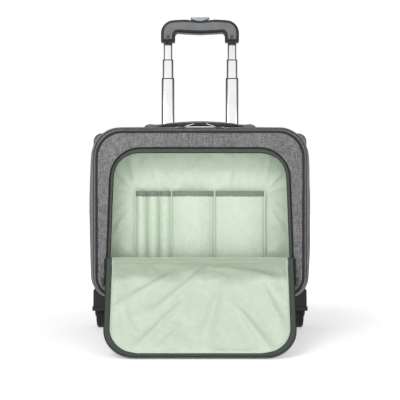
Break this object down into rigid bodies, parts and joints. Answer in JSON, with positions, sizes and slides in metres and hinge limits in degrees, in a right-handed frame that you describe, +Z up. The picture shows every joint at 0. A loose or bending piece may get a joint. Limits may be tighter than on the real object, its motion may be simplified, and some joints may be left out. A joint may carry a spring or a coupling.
{
  "type": "rolling laptop case",
  "caption": "Upright padded fabric laptop case on wheels with a telescopic handle, a carry handle and an open front pocket whose flap folds down to the floor.",
  "frame": {"origin": "on the floor under the centre of the bounding box", "axes": "+Z up, +Y towards the rear panel and the trolley handle, -Y the front with the open pocket, +X to the right when seen from the front"},
  "size_m": [0.426, 0.3638, 0.613],
  "materials": {
    "grey_fabric": "heather grey woven polyester, matte",
    "mint_lining": "smooth mint lining cloth",
    "zip_tape": "dark olive woven zip tape",
    "dark_trim": "black woven zip tape",
    "hem_elastic": "grey-green ribbed elastic",
    "board": "matte sheet",
    "black_plastic": "satin moulded plastic",
    "tyre_rubber": "matte rubber",
    "tube_aluminium": "polished anodised",
    "grip_plastic": "satin grey moulding",
    "silver_button": "metallised silver",
    "zip_metal": "bright plated",
    "steel": "plain"
  },
  "bodies": {
    "case": {"main_shell": "grey_fabric", "back_panel": "grey_fabric", "main_zip_rear": "dark_trim", "laptop_divider": "mint_lining", "inner_back_board": "mint_lining", "base_plate": "board", "wheel_housing_left": "black_plastic", "wheel_housing_right": "black_plastic", "wheel_axle_left": "steel", "wheel_axle_right": "steel", "front_foot_left": "black_plastic", "front_foot_right": "black_plastic", "outer_tube_left": "tube_aluminium", "outer_tube_right": "tube_aluminium", "tube_base_bracket": "black_plastic", "trolley_bezel": "black_plastic", "handle_anchor_left": "black_plastic", "handle_anchor_right": "black_plastic"},
    "wheel_left": {"wheel_hub_left": "black_plastic", "wheel_tyre_left": "tyre_rubber"},
    "wheel_right": {"wheel_hub_right": "black_plastic", "wheel_tyre_right": "tyre_rubber"},
    "carry_handle": {"carry_handle": "grey_fabric"},
    "main_slider_left": {"main_zip_slider_left": "black_plastic"},
    "main_slider_right": {"main_zip_slider_right": "black_plastic"},
    "main_pull_left": {"main_zip_pull_left": "zip_metal"},
    "main_pull_right": {"main_zip_pull_right": "zip_metal"},
    "front_lid": {"front_panel": "grey_fabric", "front_gusset": "grey_fabric", "main_zip_front": "dark_trim", "pocket_pouch": "mint_lining", "pen_sleeve": "mint_lining", "mouse_pocket": "mint_lining", "phone_pocket": "mint_lining", "organiser_hem": "hem_elastic", "pocket_zip_tape": "zip_tape"},
    "pocket_slider_left": {"pocket_zip_slider_left": "black_plastic"},
    "pocket_slider_right": {"pocket_zip_slider_right": "black_plastic"},
    "pocket_pull_left": {"pocket_zip_pull_left": "black_plastic"},
    "pocket_pull_right": {"pocket_zip_pull_right": "black_plastic"},
    "flap": {"flap_panel": "grey_fabric", "flap_lining": "mint_lining", "flap_zip_tape": "zip_tape"},
    "trolley_stage1": {"stage1_tube_left": "tube_aluminium", "stage1_tube_right": "tube_aluminium", "stage1_bush_left": "black_plastic", "stage1_bush_right": "black_plastic"},
    "trolley_stage2": {"stage2_tube_left": "tube_aluminium", "stage2_tube_right": "tube_aluminium", "stage2_bush_left": "black_plastic", "stage2_bush_right": "black_plastic"},
    "trolley_grip": {"stage3_tube_left": "tube_aluminium", "stage3_tube_right": "tube_aluminium", "grip_shell_front": "grip_plastic", "grip_shell_rear": "grip_plastic", "grip_screw_left": "steel", "grip_screw_right": "steel"},
    "release_button": {"release_button": "silver_button", "release_link": "steel", "button_spring": "steel"}
  },
  "joints": [
    {"name": "wheel_left_spin", "type": "hinge", "parent": "case", "child": "wheel_left", "pos_m": [-0.1915, 0.1489, 0.031], "axis": [1, 0, 0], "continuous": true},
    {"name": "main_zip_slide_left", "type": "slide", "parent": "case", "child": "main_slider_left", "axis": [-1, 0, 0], "range_m": [0, 0.1]},
    {"name": "main_pull_left_swing", "type": "hinge", "parent": "main_slider_left", "child": "main_pull_left", "pos_m": [-0.028, -0.0356, 0.3822], "axis": [0, -1, 0], "range_deg": [-21, 120]},
    {"name": "pocket_zip_slide_left", "type": "slide", "parent": "front_lid", "child": "pocket_slider_left", "axis": [0, 0, 1], "range_m": [0, 0.1]},
    {"name": "pocket_pull_left_swing", "type": "hinge", "parent": "pocket_slider_left", "child": "pocket_pull_left", "pos_m": [-0.1675, -0.061, 0.1145], "axis": [-1, 0, 0], "range_deg": [0, 150]},
    {"name": "wheel_right_spin", "type": "hinge", "parent": "case", "child": "wheel_right", "pos_m": [0.1915, 0.1489, 0.031], "axis": [1, 0, 0], "continuous": true},
    {"name": "main_zip_slide_right", "type": "slide", "parent": "case", "child": "main_slider_right", "axis": [1, 0, 0], "range_m": [0, 0.1]},
    {"name": "main_pull_right_swing", "type": "hinge", "parent": "main_slider_right", "child": "main_pull_right", "pos_m": [0.028, -0.0356, 0.3822], "axis": [0, 1, 0], "range_deg": [-21, 120]},
    {"name": "pocket_zip_slide_right", "type": "slide", "parent": "front_lid", "child": "pocket_slider_right", "axis": [0, 0, 1], "range_m": [0, 0.1]},
    {"name": "pocket_pull_right_swing", "type": "hinge", "parent": "pocket_slider_right", "child": "pocket_pull_right", "pos_m": [0.1675, -0.061, 0.1145], "axis": [-1, 0, 0], "range_deg": [0, 150]},
    {"name": "carry_handle_tilt", "type": "hinge", "parent": "case", "child": "carry_handle", "pos_m": [0, 0.0339, 0.3893], "axis": [1, 0, 0], "range_deg": [-25, 25]},
    {"name": "lid_hinge", "type": "hinge", "parent": "case", "child": "front_lid", "pos_m": [0, -0.0356, 0.0806], "axis": [1, 0, 0], "range_deg": [0, 75]},
    {"name": "flap_fold", "type": "hinge", "parent": "front_lid", "child": "flap", "pos_m": [0, -0.0561, 0.15], "axis": [-1, 0, 0], "range_deg": [0, 140]},
    {"name": "stage1_slide", "type": "slide", "parent": "case", "child": "trolley_stage1", "axis": [0, 0, 1], "range_m": [-0.105, 0.08]},
    {"name": "stage2_slide", "type": "slide", "parent": "trolley_stage1", "child": "trolley_stage2", "axis": [0, 0, 1], "range_m": [-0.036, 0.152]},
    {"name": "stage3_slide", "type": "slide", "parent": "trolley_stage2", "child": "trolley_grip", "axis": [0, 0, 1], "range_m": [-0.032, 0.156]},
    {"name": "release_button_press", "type": "slide", "parent": "trolley_grip", "child": "release_button", "axis": [0, 0, -1], "range_m": [0, 0.004], "stiffness_N_per_m": 800, "springref_m": -0.002, "deforming": ["button_spring"]}
  ]
}
